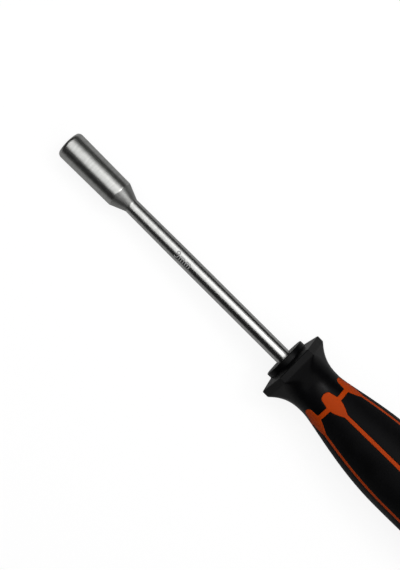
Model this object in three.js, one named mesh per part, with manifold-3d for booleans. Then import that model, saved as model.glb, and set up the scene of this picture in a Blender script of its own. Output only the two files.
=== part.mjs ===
// A 9 mm hand nut driver: a one-piece steel blade in a moulded handle of black and orange plastic.
// Millimetres. The driver lies along X with its drive end towards +X and one flat of its guard up.
// The origin is the centre of the flat face at the handle's end.
// Inside each piece, "behind" is a distance along the axis from the front face of the collar
// towards the handle's end, so places on the open blade are negative. An azimuth is an angle about
// the axis, from the upper flat of the guard towards +Y.

import * as THREE from "three";
import { mergeVertices } from "three/addons/utils/BufferGeometryUtils.js";
import Module from "manifold-3d";

// Driving dimensions of the drive end
const nut_across_flats = 9;
const hexagon_depth = 13;
const relief_depth = 3;
const lead_in_depth = 0.7;
const lead_in_margin = 0.2;

// Driving dimensions of the blade
const blade_length = 125;
const socket_mouth_diameter = 12.9;
const socket_rear_diameter = 12.3;
const socket_length = 29.2;
const mouth_round_length = 1.3;
const mouth_round_height = 0.7;
const cone_length = 7.2;
const cone_fillet_length = 2.4;
const neck_diameter = 6.65;
const shank_diameter = 7;
const neck_length = 30;
const tang_length = 82;
const tang_point_length = 2;
const tang_point_diameter = 4;
const wing_start = 60;
const wing_length = 16;
const wing_span = 10.6;
const wing_thickness = 2.4;
const wing_ramp = 3;

// Driving dimensions of the inner core and its collar
const collar_diameter = 19.3;
const collar_length = 3;
const collar_edge = 0.4;
const core_diameter = 13.2;

// Driving dimensions of the guard, the waist and the sleeve's fingers
const guard_across_flats = 28;
const guard_front = 4.1;
const guard_rear = 6.8;
const guard_face_slope_share = 0.28;
const waist_behind = 21;
const waist_diameter = 21.1;
const flare_power = 2.6;
const sleeve_bore_wall = 1.5;
const ring_front = 25.6;
const ring_width = 2.2;

// Driving dimensions of the orange petals in front of the ring
const petal_count = 6;
const petal_tip = 20.6;
const petal_nose_length = 1.5;
const petal_nose_width = 5;
const petal_root_width = 7.3;

// Driving dimensions of the handle's skin behind the waist
const handle_length = 118;
const belly_behind = 68;
const belly_diameter = 33.4;
const dome_length = 16;
const shoulder_diameter = 30;
const end_flat_diameter = 12;

// How far the skin's curves keep their direction from each end, as shares of the curve's length, the
// skin's slope at the shoulder, and the height of the dome's last upright stretch as a share of its
// own height
const waist_lead_share = 0.128;
const belly_lead_share = 0.468;
const belly_trail_share = 0.47;
const shoulder_lead_share = 0.265;
const shoulder_slope_share = 0.16;
const dome_lead_share = 0.375;
const dome_upright_share = 0.55;

// Driving dimensions of the grip pads, the ribs between them and the end cap
const pad_depth = 2.2;
const tail_length = 19;
const rib_width = 1.6;
const front_flare_length = 5.6;
const pad_end_length = 13;
const pad_end_width_share = 0.34;
const rib_flare_power = 1.4;
const cap_length = 5.6;
const spigot_length = 8.1;

// Clearance between moulded neighbours, and how far a cutter runs past what it cuts
const clearance = 0.3;
const overrun = 1;

// Counts
const turn_segments = 60;
const blade_segments = 48;
const hexagon_sides = 6;
const round_steps = 4;
const flare_steps = 7;
const waist_steps = 3;
const skin_steps = 13;
const dome_steps = 6;
const petal_nose_steps = 4;
const petal_side_steps = 2;
const petal_columns = 4;
const pad_flare_steps = 4;
const pad_middle_steps = 6;
const pad_end_steps = 6;
const pad_columns = 6;

// Radii and angles that follow from the driving dimensions
const pitch = (2 * Math.PI) / petal_count;
const half_pitch = pitch / 2;
const hexagon_radius = nut_across_flats / 2 / Math.cos(Math.PI / hexagon_sides);
const shank_radius = shank_diameter / 2;
const core_bore_radius = shank_radius + clearance;
const core_radius = core_diameter / 2;
const collar_radius = collar_diameter / 2;
const body_bore_radius = core_radius + clearance;
const body_tube_radius = body_bore_radius + sleeve_bore_wall;
const sleeve_bore_radius = body_tube_radius + clearance;
const waist_radius = waist_diameter / 2;
const belly_radius = belly_diameter / 2;
const shoulder_radius = shoulder_diameter / 2;
const end_flat_radius = end_flat_diameter / 2;
const ring_rear = ring_front + ring_width;
const seat_behind = collar_length + clearance;
const shoulder_behind = handle_length - dome_length;
const pad_rear = handle_length - tail_length;
const cap_front = handle_length - cap_length;
const spigot_end = cap_front - spigot_length;
const core_end = spigot_end - clearance;

// Materials
const steel = new THREE.MeshStandardMaterial({ color: 0xb9bcbf, roughness: 0.3, metalness: 1 });
const black_plastic = new THREE.MeshStandardMaterial({ color: 0x131416, roughness: 0.42, metalness: 0 });
const black_grip = new THREE.MeshStandardMaterial({ color: 0x0e0e10, roughness: 0.72, metalness: 0 });
const orange_plastic = new THREE.MeshStandardMaterial({ color: 0xb4481a, roughness: 0.4, metalness: 0 });

const wasm = await Module();
wasm.setup();

// A closed geometry as a solid, with its faces pointing out.
function solidOf(geometry) {
  const bare = new THREE.BufferGeometry();
  bare.setAttribute("position", geometry.getAttribute("position"));
  bare.setIndex(geometry.getIndex());
  const merged = mergeVertices(bare);
  const places = merged.getAttribute("position");
  const corners = merged.getIndex().array;
  const triangles = [];
  let volume = 0;
  const a = new THREE.Vector3();
  const b = new THREE.Vector3();
  const c = new THREE.Vector3();
  for (let k = 0; k < corners.length; k += 3) {
    const [i, j, l] = [corners[k], corners[k + 1], corners[k + 2]];
    if (i === j || j === l || l === i) continue;
    triangles.push(i, j, l);
    a.fromBufferAttribute(places, i);
    b.fromBufferAttribute(places, j);
    c.fromBufferAttribute(places, l);
    volume += a.dot(b.cross(c));
  }
  if (volume < 0) triangles.reverse();
  return new wasm.Manifold(new wasm.Mesh({
    numProp: 3,
    vertProperties: new Float32Array(places.array),
    triVerts: new Uint32Array(triangles),
  }));
}

// A solid's surface as a geometry.
function geometryOf(solid) {
  const surface = solid.getMesh();
  const geometry = new THREE.BufferGeometry();
  geometry.setAttribute("position", new THREE.BufferAttribute(surface.vertProperties, 3));
  geometry.setIndex(new THREE.BufferAttribute(surface.triVerts, 1));
  geometry.computeVertexNormals();
  return geometry;
}

// The place at a distance behind the collar's face, a radius and an azimuth.
function placeAt(behind, radius, azimuth) {
  return [-behind, radius * Math.sin(azimuth), radius * Math.cos(azimuth)];
}

// A solid turned about the axis from a profile of [behind, radius] points. The profile starts and
// ends on the axis, or ends where it starts.
function turned(profile, segments) {
  const points = profile.map(([behind, radius]) => new THREE.Vector2(radius, behind));
  return solidOf(new THREE.LatheGeometry(points, segments).rotateZ(Math.PI / 2));
}

// A ring-shaped solid whose section changes with the azimuth: each entry of the loop gives
// [behind, radius] for an azimuth, and the last entry joins the first.
function turnedLoop(loop, segments) {
  const places = [];
  const triangles = [];
  for (let k = 0; k < segments; k += 1) {
    const azimuth = (2 * Math.PI * k) / segments;
    for (const entry of loop) places.push(...placeAt(...entry(azimuth), azimuth));
  }
  const count = loop.length;
  for (let k = 0; k < segments; k += 1) {
    const next = (k + 1) % segments;
    for (let i = 0; i < count; i += 1) {
      const follow = (i + 1) % count;
      const corner = [k * count + i, k * count + follow, next * count + follow, next * count + i];
      triangles.push(corner[0], corner[1], corner[2], corner[0], corner[2], corner[3]);
    }
  }
  return closedSolid(places, triangles);
}

function closedSolid(places, triangles) {
  const geometry = new THREE.BufferGeometry();
  geometry.setAttribute("position", new THREE.Float32BufferAttribute(places, 3));
  geometry.setIndex(triangles);
  return solidOf(geometry);
}

// A curved slab about the axis, centred on azimuth 0. Each station gives its distance behind, the
// slab's half angle there, and its inner and outer radius. Columns of equal angle cross it.
function curvedSlab(stations, columns) {
  const places = [];
  const triangles = [];
  const rows = stations.length;
  const across = columns + 1;
  for (const layer of ["inner", "outer"]) {
    for (const station of stations) {
      for (let j = 0; j < across; j += 1) {
        const azimuth = station.half_angle * ((2 * j) / columns - 1);
        places.push(...placeAt(station.behind, station[layer], azimuth));
      }
    }
  }
  const at = (layer, i, j) => layer * rows * across + i * across + j;
  const quad = (p, q, r, s) => triangles.push(p, q, r, p, r, s);
  for (let i = 0; i + 1 < rows; i += 1) {
    for (let j = 0; j < columns; j += 1) {
      quad(at(0, i, j), at(0, i, j + 1), at(0, i + 1, j + 1), at(0, i + 1, j));
      quad(at(1, i, j), at(1, i + 1, j), at(1, i + 1, j + 1), at(1, i, j + 1));
    }
    quad(at(0, i, 0), at(0, i + 1, 0), at(1, i + 1, 0), at(1, i, 0));
    quad(at(0, i, columns), at(1, i, columns), at(1, i + 1, columns), at(0, i + 1, columns));
  }
  const last = rows - 1;
  for (let j = 0; j < columns; j += 1) {
    quad(at(0, 0, j), at(1, 0, j), at(1, 0, j + 1), at(0, 0, j + 1));
    quad(at(0, last, j), at(0, last, j + 1), at(1, last, j + 1), at(1, last, j));
  }
  return closedSolid(places, triangles);
}

// A solid repeated at every pitch about the axis and joined.
function repeatedRound(solid) {
  let joined = solid;
  for (let k = 1; k < petal_count; k += 1) {
    joined = joined.add(solid.rotate([(k * 360) / petal_count, 0, 0]));
  }
  return joined;
}

// Evenly spaced values from one end to the other, both included.
function spaced(from, to, steps) {
  return Array.from({ length: steps + 1 }, (_, k) => from + ((to - from) * k) / steps);
}

// The handle's round skin behind the waist: three curves of [behind, radius] that meet smoothly at
// the belly and at the shoulder.
const rise_length = belly_behind - waist_behind;
const fall_length = shoulder_behind - belly_behind;
const shoulder_lead = fall_length * shoulder_lead_share;
const dome_lead = dome_length * dome_lead_share;
const dome_upright = (shoulder_radius - end_flat_radius) * dome_upright_share;
const skin_curves = [
  new THREE.CubicBezierCurve(
    new THREE.Vector2(waist_behind, waist_radius),
    new THREE.Vector2(waist_behind + rise_length * waist_lead_share, waist_radius),
    new THREE.Vector2(belly_behind - rise_length * belly_lead_share, belly_radius),
    new THREE.Vector2(belly_behind, belly_radius),
  ),
  new THREE.CubicBezierCurve(
    new THREE.Vector2(belly_behind, belly_radius),
    new THREE.Vector2(belly_behind + fall_length * belly_trail_share, belly_radius),
    new THREE.Vector2(
      shoulder_behind - shoulder_lead,
      shoulder_radius + shoulder_lead * shoulder_slope_share,
    ),
    new THREE.Vector2(shoulder_behind, shoulder_radius),
  ),
  new THREE.CubicBezierCurve(
    new THREE.Vector2(shoulder_behind, shoulder_radius),
    new THREE.Vector2(shoulder_behind + dome_lead, shoulder_radius - dome_lead * shoulder_slope_share),
    new THREE.Vector2(handle_length, end_flat_radius + dome_upright),
    new THREE.Vector2(handle_length, end_flat_radius),
  ),
];
const dome_curve = skin_curves[2];

// The curve's parameter at a distance behind, found by halving.
function parameterAt(curve, behind) {
  let low = 0;
  let high = 1;
  for (let k = 0; k < 40; k += 1) {
    const middle = (low + high) / 2;
    if (curve.getPoint(middle).x < behind) low = middle;
    else high = middle;
  }
  return (low + high) / 2;
}

// The radius of the round skin at a distance behind. In front of the waist it stays at the waist's.
function skinRadius(behind) {
  if (behind <= waist_behind) return waist_radius;
  const curve = skin_curves.find((candidate) => behind <= candidate.v3.x) ?? dome_curve;
  return curve.getPoint(parameterAt(curve, behind)).y;
}

// The cosine of the angle between an azimuth and the middle of the nearest flat of the guard.
function flatCosine(azimuth) {
  return Math.cos(((azimuth + half_pitch) % pitch) - half_pitch);
}

// The radius of the guard's hexagon at an azimuth.
function guardRadius(azimuth) {
  return guard_across_flats / 2 / flatCosine(azimuth);
}

// The steel blade: socket, cone, shank and winged end in one piece, with its hexagonal hole.
function blade() {
  const tip = -blade_length;
  const mouth_radius = socket_mouth_diameter / 2;
  const cone_start = tip + socket_length;
  const cone_end = cone_start + cone_length;
  const neck_radius = neck_diameter / 2;
  const cone_rise = socket_rear_diameter / 2 - neck_radius;
  const profile = [[tip, 0]];
  for (const turn of spaced(0, Math.PI / 2, round_steps)) {
    profile.push([
      tip + mouth_round_length * (1 - Math.cos(turn)),
      mouth_radius - mouth_round_height * (1 - Math.sin(turn)),
    ]);
  }
  profile.push([cone_start, socket_rear_diameter / 2]);
  const fillet_start = cone_end - cone_fillet_length / 2;
  const fillet = new THREE.QuadraticBezierCurve(
    new THREE.Vector2(fillet_start, neck_radius + (cone_rise * cone_fillet_length) / 2 / cone_length),
    new THREE.Vector2(cone_end, neck_radius),
    new THREE.Vector2(cone_end + cone_fillet_length / 2, neck_radius),
  );
  for (const point of fillet.getPoints(round_steps)) profile.push([point.x, point.y]);
  profile.push([cone_end + neck_length, shank_radius]);
  profile.push([tang_length - tang_point_length, shank_radius]);
  profile.push([tang_length, tang_point_diameter / 2]);
  profile.push([tang_length, 0]);
  return turned(profile, blade_segments)
    .add(wings(0))
    .subtract(hexagonCutter())
    .subtract(roundCutter());
}

// The two wings pressed out of the shank's hidden end. Grown by a margin they cut their own slot.
function wings(margin) {
  const from = -wing_start + margin;
  const to = -wing_start - wing_length - margin;
  const half_span = wing_span / 2 + margin;
  const outline = new THREE.Shape();
  outline.moveTo(from, 0);
  outline.lineTo(from - wing_ramp, half_span);
  outline.lineTo(to + wing_ramp, half_span);
  outline.lineTo(to, 0);
  outline.lineTo(to + wing_ramp, -half_span);
  outline.lineTo(from - wing_ramp, -half_span);
  outline.closePath();
  const depth = wing_thickness + 2 * margin;
  const slab = new THREE.ExtrudeGeometry(outline, { depth, bevelEnabled: false });
  return solidOf(slab.translate(0, 0, -depth / 2));
}

// The hexagonal hole, with one pair of its flats facing up and down.
function hexagonCutter() {
  const length = hexagon_depth + overrun;
  const prism = new THREE.CylinderGeometry(
    hexagon_radius, hexagon_radius, length, hexagon_sides, 1, false, Math.PI / hexagon_sides,
  );
  return solidOf(prism.rotateZ(Math.PI / 2).translate(blade_length + overrun - length / 2, 0, 0));
}

// The round hole that the hexagon is broached from, which runs a little deeper, and the cone that
// leads a nut in at the mouth.
function roundCutter() {
  const tip = -blade_length;
  const relief_radius = nut_across_flats / 2;
  const bottom = tip + hexagon_depth + relief_depth;
  const lead_in_radius = hexagon_radius + lead_in_margin;
  return turned([
    [tip - overrun, 0],
    [tip - overrun, lead_in_radius],
    [tip, lead_in_radius],
    [tip + lead_in_depth, relief_radius],
    [bottom - relief_depth / 2, relief_radius],
    [bottom, 0],
  ], blade_segments);
}

// The hard core round the shank, with the collar as its front end.
function innerCore() {
  const bore_end = tang_length + clearance;
  return turned([
    [bore_end, 0],
    [bore_end, core_bore_radius],
    [0, core_bore_radius],
    [0, collar_radius - collar_edge],
    [collar_edge, collar_radius],
    [collar_length, collar_radius],
    [collar_length, core_radius],
    [core_end, core_radius],
    [core_end, 0],
  ], turn_segments).subtract(wings(clearance));
}

// A petal's prism about azimuth 0, from an inner radius out, grown by a margin at its sides and tip.
function petal(inner_radius, outer_extra, margin) {
  const nose_end = petal_tip + petal_nose_length;
  const stations = [];
  const addStation = (behind, half_width) => {
    const radius = skinRadius(behind);
    stations.push({
      behind,
      half_angle: (half_width + margin) / radius,
      inner: inner_radius,
      outer: radius + outer_extra,
    });
  };
  const nose_turns = spaced(0, Math.PI / 2, petal_nose_steps + 1).slice(1);
  for (const turn of nose_turns) {
    const reach = Math.cos(turn) * (petal_nose_length + margin);
    addStation(nose_end - reach, (Math.sin(turn) * petal_nose_width) / 2);
  }
  const ring_middle = ring_front + ring_width / 2;
  for (const behind of spaced(nose_end, ring_middle, petal_side_steps + 1).slice(1)) {
    const along_share = (behind - nose_end) / (ring_front - nose_end);
    addStation(behind, (petal_nose_width + (petal_root_width - petal_nose_width) * along_share) / 2);
  }
  return curvedSlab(stations, petal_columns);
}

// Half the angle of a pad's pocket: the ribs beside it widen at its front, and its end is rounded.
function pocketHalfAngle(behind) {
  const narrow = rib_width / 2;
  const front_share = Math.min(1, (behind - ring_rear) / front_flare_length);
  const end_share = Math.min(1, (pad_rear - behind) / pad_end_length);
  const rib = narrow + (petal_root_width / 2 - narrow) * (1 - front_share ** rib_flare_power);
  const round_share = Math.sqrt(1 - (1 - end_share) ** 2);
  const kept_share = pad_end_width_share + (1 - pad_end_width_share) * round_share;
  return (half_pitch - rib / skinRadius(behind)) * kept_share;
}

// A pad's slab about azimuth 0, set in from its pocket's walls and ends, from a depth under the
// skin to a height over it.
function padSlab(inset, depth, height) {
  const flare_front = ring_rear + front_flare_length;
  const end_turns = spaced(0, Math.PI / 2, pad_end_steps).slice(1);
  const places = [
    ...spaced(ring_rear, flare_front, pad_flare_steps),
    ...spaced(flare_front, pad_rear - pad_end_length, pad_middle_steps).slice(1),
    ...end_turns.map((turn) => pad_rear - pad_end_length * (1 - Math.sin(turn))),
  ];
  const stations = places.map((place) => {
    const behind = Math.min(Math.max(place, ring_rear + inset), pad_rear - inset);
    const radius = skinRadius(behind);
    return {
      behind,
      half_angle: pocketHalfAngle(place) - inset / radius,
      inner: radius - depth,
      outer: radius + height,
    };
  });
  return curvedSlab(stations, pad_columns);
}

// The orange body: a tube under the sleeve, the petals and ring, the ribs and the tail.
function handleBody() {
  const skin_start = petal_tip - overrun;
  const waist = spaced(waist_behind, ring_rear, waist_steps).slice(1, -1)
    .map((behind) => [behind, skinRadius(behind)]);
  const skin = spaced(ring_rear, cap_front, skin_steps).map((behind) => [behind, skinRadius(behind)]);
  const blank = turned([
    [seat_behind, body_bore_radius],
    [seat_behind, body_tube_radius],
    [skin_start, body_tube_radius],
    [skin_start, waist_radius],
    [waist_behind, waist_radius],
    ...waist,
    ...skin,
    [cap_front, body_bore_radius],
    [seat_behind, body_bore_radius],
  ], turn_segments);
  const around_petals = turned([
    [skin_start - overrun, body_tube_radius],
    [skin_start - overrun, belly_radius],
    [ring_front, belly_radius],
    [ring_front, body_tube_radius],
    [skin_start - overrun, body_tube_radius],
  ], turn_segments);
  const petals = repeatedRound(petal(body_tube_radius - overrun, belly_radius, 0));
  const pockets = repeatedRound(padSlab(0, pad_depth + clearance, overrun)).rotate([180 / petal_count, 0, 0]);
  return blank.subtract(around_petals.subtract(petals)).subtract(pockets);
}

// The black sleeve: hexagonal guard, flare, waist and the fingers between the petals.
function frontSleeve() {
  const finger_end = ring_front - clearance;
  const counterbore_radius = collar_radius + clearance;
  const round = (behind, radius) => () => [behind, radius];
  const faceBehind = (reach) => guard_front - (guard_across_flats / 2 - reach) * guard_face_slope_share;
  const flare = spaced(guard_rear, waist_behind, flare_steps).slice(1).map((behind) => (azimuth) => {
    const left_share = (waist_behind - behind) / (waist_behind - guard_rear);
    return [behind, waist_radius + (guardRadius(azimuth) - waist_radius) * left_share ** flare_power];
  });
  const waist = spaced(waist_behind, finger_end, waist_steps).slice(1)
    .map((behind) => round(behind, skinRadius(behind)));
  const blank = turnedLoop([
    round(seat_behind, sleeve_bore_radius),
    round(seat_behind, counterbore_radius),
    (azimuth) => [faceBehind(counterbore_radius * flatCosine(azimuth)), counterbore_radius],
    (azimuth) => [guard_front, guardRadius(azimuth)],
    (azimuth) => [guard_rear, guardRadius(azimuth)],
    ...flare,
    ...waist,
    round(finger_end, sleeve_bore_radius),
  ], turn_segments);
  return blank.subtract(repeatedRound(petal(body_tube_radius - overrun, belly_radius, clearance)));
}

// The cap in the tail: a round spigot, and the end of the dome with its flat face.
function endCap() {
  const spigot_radius = body_bore_radius - clearance;
  const shoulder = cap_front + clearance;
  const start = parameterAt(dome_curve, shoulder);
  const dome = spaced(start, 1, dome_steps).map((parameter) => dome_curve.getPoint(parameter));
  return turned([
    [spigot_end, 0],
    [spigot_end, spigot_radius],
    [shoulder, spigot_radius],
    ...dome.map((point) => [point.x, point.y]),
    [handle_length, 0],
  ], turn_segments);
}

function piece(name, solid, material) {
  const mesh = new THREE.Mesh(geometryOf(solid), material);
  mesh.name = name;
  return mesh;
}

const driver = new THREE.Group();
driver.position.x = handle_length;
driver.add(piece("blade", blade(), steel));
driver.add(piece("inner_core", innerCore(), black_plastic));
driver.add(piece("handle_body", handleBody(), orange_plastic));
driver.add(piece("front_sleeve", frontSleeve(), black_plastic));
driver.add(piece("end_cap", endCap(), black_plastic));

const pad_solid = padSlab(clearance, pad_depth, 0);
for (let k = 0; k < petal_count; k += 1) {
  const grip_pad = piece(`grip_pad_${k + 1}`, pad_solid, black_grip);
  grip_pad.rotation.x = half_pitch + k * pitch;
  driver.add(grip_pad);
}

export default driver;
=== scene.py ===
import math

import bmesh
import bpy
import numpy as np
from mathutils import Matrix


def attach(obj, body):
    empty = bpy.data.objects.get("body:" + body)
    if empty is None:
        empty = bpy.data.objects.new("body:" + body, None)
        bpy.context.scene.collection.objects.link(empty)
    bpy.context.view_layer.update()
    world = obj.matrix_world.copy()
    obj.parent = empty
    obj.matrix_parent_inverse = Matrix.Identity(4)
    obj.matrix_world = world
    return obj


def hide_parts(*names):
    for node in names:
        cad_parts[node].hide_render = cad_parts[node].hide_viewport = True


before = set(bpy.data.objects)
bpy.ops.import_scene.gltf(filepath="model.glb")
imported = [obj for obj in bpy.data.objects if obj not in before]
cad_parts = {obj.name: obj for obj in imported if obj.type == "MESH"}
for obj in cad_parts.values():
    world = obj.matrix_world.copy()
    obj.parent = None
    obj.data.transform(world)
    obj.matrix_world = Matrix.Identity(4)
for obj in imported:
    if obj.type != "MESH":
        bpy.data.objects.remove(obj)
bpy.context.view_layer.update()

# Lengths are in millimetres. "Behind" is a distance along the tool from the collar's front face
# towards the handle's end, so places on the open blade are negative. An azimuth turns about the
# tool's axis from straight up towards +Y. A grid is an array of [behind, radius, azimuth] places.
millimetre = 0.001

# The blade
blade_length = 125.0
nut_across_flats = 9.0
hexagon_depth = 13.0
relief_depth = 3.0
relief_cone_length = 1.5
lead_in_depth = 0.7
lead_in_margin = 0.2
mouth_edge_reach = 0.12
socket_mouth_diameter = 12.9
socket_rear_diameter = 12.3
socket_length = 29.6
socket_edge_reach = 0.35
mouth_round_length = 1.9
mouth_round_height = 1.5
mouth_round_start = math.radians(36)
cone_length = 6.8
cone_fillet_reach = 0.6
neck_diameter = 6.65
neck_length = 30.0
shank_diameter = 7.0
tang_length = 82.0
tang_point_length = 2.0
tang_point_diameter = 4.0
wing_start = 60.0
wing_length = 16.0
wing_span = 10.6
wing_thickness = 2.4
wing_ramp = 3.0

# The size mark on the shank, whose digit and letters are in shares of its height
mark_start = -61.3
mark_azimuth = math.radians(16.7)
mark_height = 3.1
mark_width = 0.36
mark_depth = 0.03
mark_rise = 0.012
digit_right_share = 0.5
digit_ring_middle_share = 0.77
digit_ring_half_width_share = 0.23
digit_ring_half_height_share = 0.21
digit_hook_half_width_share = 0.26
digit_hook_height_share = 0.3
digit_hook_turn = math.radians(144)
letter_stem_share = 0.72
letter_arch_foot_share = 0.54
letter_arch_height_share = 0.17
letter_leg_gap_share = 0.344
letter_start_shares = (0.832, 1.876)

# The core and its collar
collar_diameter = 19.3
collar_length = 3.0
collar_front_reach = 0.45
collar_rear_reach = 0.15
core_bore_edge_reach = 0.15
core_diameter = 13.2
core_bore_gap = 0.02
core_end = 104.0

# The sleeve: guard, flare, waist and fingers
guard_across_flats = 28.0
guard_front = 3.75
guard_rear = 6.8
guard_face_slope = 0.28
guard_corner_round = 0.15
guard_crown = 0.02
guard_edge_reach = 0.4
counterbore_gap = 0.05
counterbore_edge_share = 0.02
counterbore_edge_fall = 0.08
seat_behind = 3.3
waist_behind = 21.0
waist_diameter = 21.1
flare_power = 2.6
round_power = 4.0
least_roundness = 0.01
sleeve_bore_diameter = 17.4

# The body: tube, petals, ring, ribs and tail
handle_length = 118.0
body_tube_diameter = 16.8
body_bore_diameter = 13.8
ring_front = 25.6
ring_width = 1.95
petal_count = 6
petal_tip = 21.0
petal_nose_length = 1.8
petal_nose_width = 4.8
petal_root_width = 6.3
finger_corner_round = 0.22
pad_corner_round = 0.28
pocket_depth = 2.5
belly_behind = 68.0
belly_diameter = 33.4
shoulder_behind = 102.0
shoulder_diameter = 30.0
shoulder_slope = 0.16
end_flat_diameter = 12.0
waist_lead = 6.0
belly_lead = 22.0
belly_trail = 16.0
shoulder_lead = 9.0
dome_lead = 6.0
dome_upright = 4.95

# The pads and the cap
pad_depth = 2.2
pad_rear = 99.0
rib_width = 1.6
front_flare_length = 5.6
pad_end_length = 13.0
pad_end_width_share = 0.34
rib_flare_power = 1.4
cap_front = 112.4
spigot_diameter = 13.2
spigot_end = 104.3
spigot_edge_reach = 0.3
cap_edge_reach = 0.25

# Seams and the small rounding along them
seam_gap = 0.035
edge_roll = 0.16
weld_distance = 0.001
sharp_angle = math.radians(32)

# How finely the grids are drawn
turn_columns = 192
petal_columns = 14
corner_steps = 6
edge_steps = 4
curve_steps = 300
quarter_steps = 12
stroke_steps = 8
corner_columns = 4
corner_last_share = 0.048
side_columns = 10
side_first_share = 0.09
face_steps = 8
flare_steps = 21
finger_steps = 7
ring_steps = 5
belly_steps = 25
taper_steps = 17
tail_steps = 13
cap_step = 6
close_row_gap = 0.4
wide_row_gap = 1.0

# Lengths and angles that follow
pitch = 2 * math.pi / petal_count
half_pitch = pitch / 2
ring_rear = ring_front + ring_width
nose_end = petal_tip + petal_nose_length
finger_corner_behind = ring_front - finger_corner_round
pad_corner_behind = ring_rear + pad_corner_round
blend_length = 1.2
edge_offsets = edge_roll * (1 - np.cos(np.linspace(0, math.pi / 2, edge_steps + 1)))
guard_reach = guard_across_flats / 2
waist_radius = waist_diameter / 2


# Shapes that several pieces share

def smooth_curve(points):
    """A cubic through four points: (1-t)^3 a + 3t(1-t)^2 b + 3t^2(1-t) c + t^3 d."""
    t = np.linspace(0, 1, curve_steps + 1)[:, None]
    a, b, c, d = np.array(points)
    return (1 - t) ** 3 * a + 3 * t * (1 - t) ** 2 * b + 3 * t ** 2 * (1 - t) * c + t ** 3 * d


belly_radius = belly_diameter / 2
shoulder_radius = shoulder_diameter / 2
end_flat_radius = end_flat_diameter / 2
rise_curve = smooth_curve([
    [waist_behind, waist_radius],
    [waist_behind + waist_lead, waist_radius],
    [belly_behind - belly_lead, belly_radius],
    [belly_behind, belly_radius],
])
fall_curve = smooth_curve([
    [belly_behind, belly_radius],
    [belly_behind + belly_trail, belly_radius],
    [shoulder_behind - shoulder_lead, shoulder_radius + shoulder_lead * shoulder_slope],
    [shoulder_behind, shoulder_radius],
])
dome_curve = smooth_curve([
    [shoulder_behind, shoulder_radius],
    [shoulder_behind + dome_lead, shoulder_radius - dome_lead * shoulder_slope],
    [handle_length, end_flat_radius + dome_upright],
    [handle_length, end_flat_radius],
])
skin_line = np.concatenate([rise_curve, fall_curve[1:], dome_curve[1:]])


def skin_radius(behind):
    """The handle's round skin: three cubics from the waist over the belly to the end."""
    return np.interp(behind, skin_line[:, 0], skin_line[:, 1])


def crowned_hexagon(azimuth, reach):
    """The guard's hexagon, whose sides are slightly crowned: they fall by a crown times the square
    of the share of the way from a flat's middle to its corner."""
    turn = (azimuth + half_pitch) % pitch - half_pitch
    fall = guard_crown * (np.tan(turn) / math.tan(half_pitch)) ** 2
    return hexagon_radius(azimuth, reach, guard_corner_round) - fall


def hexagon_radius(azimuth, reach, corner_round):
    """A hexagon with flats at a reach from the axis: reach / cos a at an angle a from a flat's
    middle, and c cos d + sqrt(w^2 - c^2 sin^2 d) on a corner's arc of radius w, which is centred
    at c = (reach - w) / cos 30 and seen at an angle d from the corner."""
    turn = (azimuth + half_pitch) % pitch - half_pitch
    centre = (reach - corner_round) / math.cos(half_pitch)
    from_corner = half_pitch - np.abs(turn)
    touch = np.arctan((reach - corner_round) * math.tan(half_pitch) / reach)
    reach_sideways = np.maximum(corner_round ** 2 - (centre * np.sin(from_corner)) ** 2, 0)
    arc = centre * np.cos(from_corner) + np.sqrt(reach_sideways)
    return np.where(np.abs(turn) > touch, arc, reach / np.cos(turn))


def grid_of(behind, radius, azimuth):
    """A grid of [behind, radius, azimuth] places from its three parts."""
    return np.stack(np.broadcast_arrays(behind, radius, azimuth), axis=-1).astype(float)


def rounded(profile):
    """A profile whose corners are rounded. Its points are [behind, radius, reach]. A corner c gives
    way to the curve (1-t)^2 p + 2t(1-t) c + t^2 q, where p and q are a reach from c on its sides."""
    points = np.array(profile, float)
    corner = points[:, :2]
    reach = points[:, 2:]
    to_last = np.roll(corner, 1, axis=0) - corner
    to_next = np.roll(corner, -1, axis=0) - corner
    p = corner + reach * to_last / np.linalg.norm(to_last, axis=1, keepdims=True)
    q = corner + reach * to_next / np.linalg.norm(to_next, axis=1, keepdims=True)
    t = np.linspace(0, 1, corner_steps + 1)[None, :, None]
    curve = (1 - t) ** 2 * p[:, None] + 2 * t * (1 - t) * corner[:, None] + t ** 2 * q[:, None]
    return curve.reshape(-1, 2)


def turned(profile):
    """A profile of [behind, radius] points carried round the axis."""
    azimuth = np.linspace(0, 2 * math.pi, turn_columns + 1)
    behind, radius = np.array(profile, float).T[..., None]
    return grid_of(behind, radius, azimuth)


def repeated(grids):
    """The same grids at each of the six pitches about the axis."""
    return [grid + [0, 0, k * pitch] for grid in grids for k in range(petal_count)]


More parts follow.
